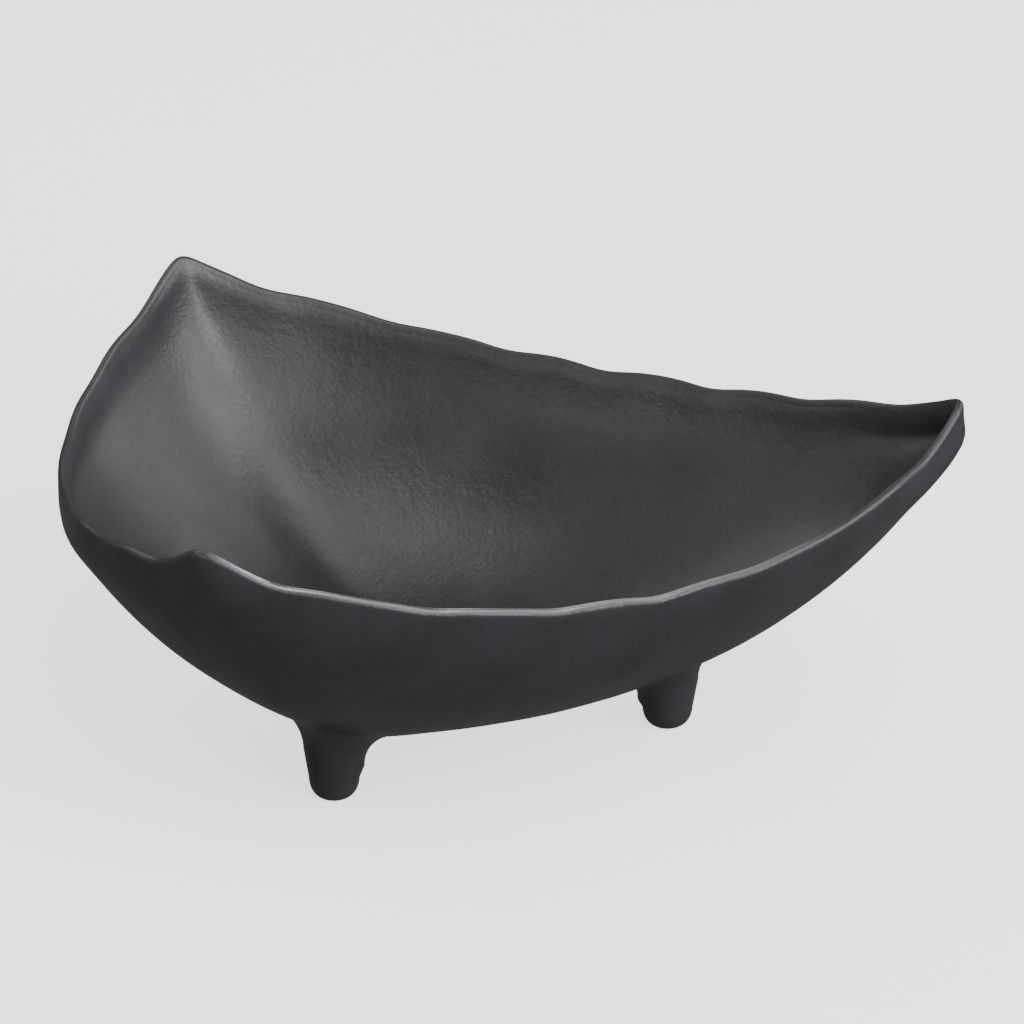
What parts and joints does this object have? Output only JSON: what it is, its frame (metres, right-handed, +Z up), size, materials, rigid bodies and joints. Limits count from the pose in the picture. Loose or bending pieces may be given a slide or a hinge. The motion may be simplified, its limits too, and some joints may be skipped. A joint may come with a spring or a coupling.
{
  "type": "footed serving bowl",
  "caption": "Leaf-shaped serving bowl with pointed corners, a long tip, a hand-pinched wavy rim and stub feet, in a dark satin finish.",
  "frame": {"origin": "centre of the footprint's bounding box, on the table that the feet stand on", "axes": "+X along the bowl to its single long tip, +Y towards the back long side, +Z up"},
  "size_m": [0.3004, 0.2045, 0.1333],
  "materials": {
    "satin_coating": "dark grey satin coating with a faint cool tint and a fine cast texture"
  },
  "bodies": {
    "root": {"bowl_shell": "satin_coating", "foot_front": "satin_coating", "foot_back": "satin_coating", "foot_tip": "satin_coating"}
  },
  "joints": []
}
